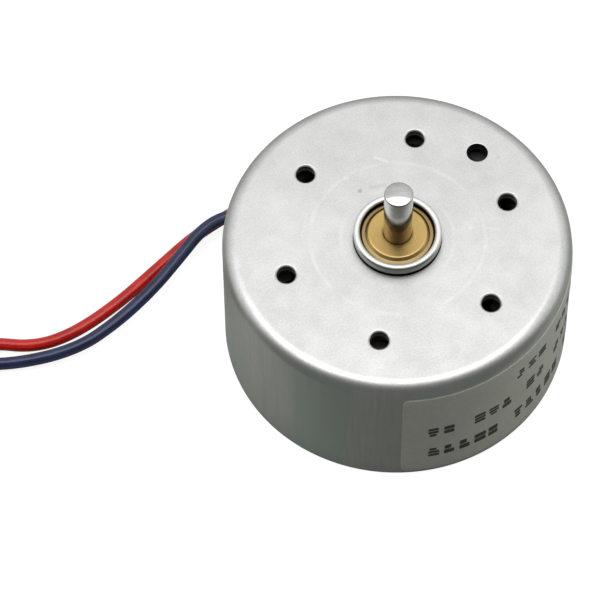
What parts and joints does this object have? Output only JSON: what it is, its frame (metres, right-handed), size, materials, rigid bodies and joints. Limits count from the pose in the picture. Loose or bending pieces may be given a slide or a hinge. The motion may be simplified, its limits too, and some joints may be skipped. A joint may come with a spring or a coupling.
{
  "type": "flat brushed dc motor",
  "caption": "Flat round brushed DC motor: drawn steel can with tapped face holes, a pilot collar, a bronze bush and a plain output shaft, with red and blue soldered leads.",
  "frame": {"origin": "centre of the screw-hole circle on the front face, on the shaft's axis", "axes": "+Z out along the output shaft, +X through a screw hole; the rear rim the motor stands on is at z = -12 mm and the terminals are at 114 degrees from +X"},
  "size_m": [0.0548, 0.0454, 0.018],
  "materials": {
    "can_steel": "satin zinc-plated sheet",
    "bronze": "sintered bronze, machined face",
    "nylon": "smooth",
    "ferrite": "ground ferrite",
    "cap_plastic": "moulded, fine spark texture",
    "tinned_brass": "tinned",
    "spring_metal": "rolled spring strip",
    "rubber": "soft",
    "solder": "bright solder",
    "label_foil": "satin foil sticker, blank bars in place of lettering",
    "red_insulation": "smooth extruded",
    "blue_insulation": "smooth extruded",
    "tinned_copper": "twisted and tinned strands",
    "shaft_steel": "ground",
    "silicon_steel": "stamped sheet",
    "insulator": "thin moulding",
    "enamelled_copper": "wound enamelled wire",
    "hub_plastic": "moulded",
    "copper": "turned copper",
    "varistor": "fired ceramic"
  },
  "bodies": {
    "stator": {"motor_can": "can_steel", "front_bush": "bronze", "rear_bush": "bronze", "thrust_plate": "nylon", "ring_magnet": "ferrite", "end_cap": "cap_plastic", "positive_terminal": "tinned_brass", "negative_terminal": "tinned_brass", "positive_brush": "spring_metal", "negative_brush": "spring_metal", "positive_brush_damper": "rubber", "negative_brush_damper": "rubber", "positive_solder_joint": "solder", "negative_solder_joint": "solder", "rating_label": "label_foil", "red_lead": "red_insulation", "red_lead_tail": "red_insulation", "blue_lead": "blue_insulation", "blue_lead_tail": "blue_insulation", "lead_coil": "blue_insulation", "red_lead_tip": "tinned_copper", "blue_lead_tip": "tinned_copper"},
    "rotor": {"shaft": "shaft_steel", "core_laminations": "silicon_steel", "front_core_insulator": "insulator", "rear_core_insulator": "insulator", "coil_a": "enamelled_copper", "coil_b": "enamelled_copper", "coil_c": "enamelled_copper", "commutator_hub": "hub_plastic", "commutator_segments": "copper", "varistor_disc": "varistor", "varistor_solder": "solder", "shaft_spacer": "nylon", "front_thrust_washer": "nylon", "rear_thrust_washer": "nylon"}
  },
  "joints": [
    {"name": "rotor_spin", "type": "hinge", "parent": "stator", "child": "rotor", "pos_m": [0, 0, 0], "axis": [0, 0, 1], "continuous": true}
  ]
}
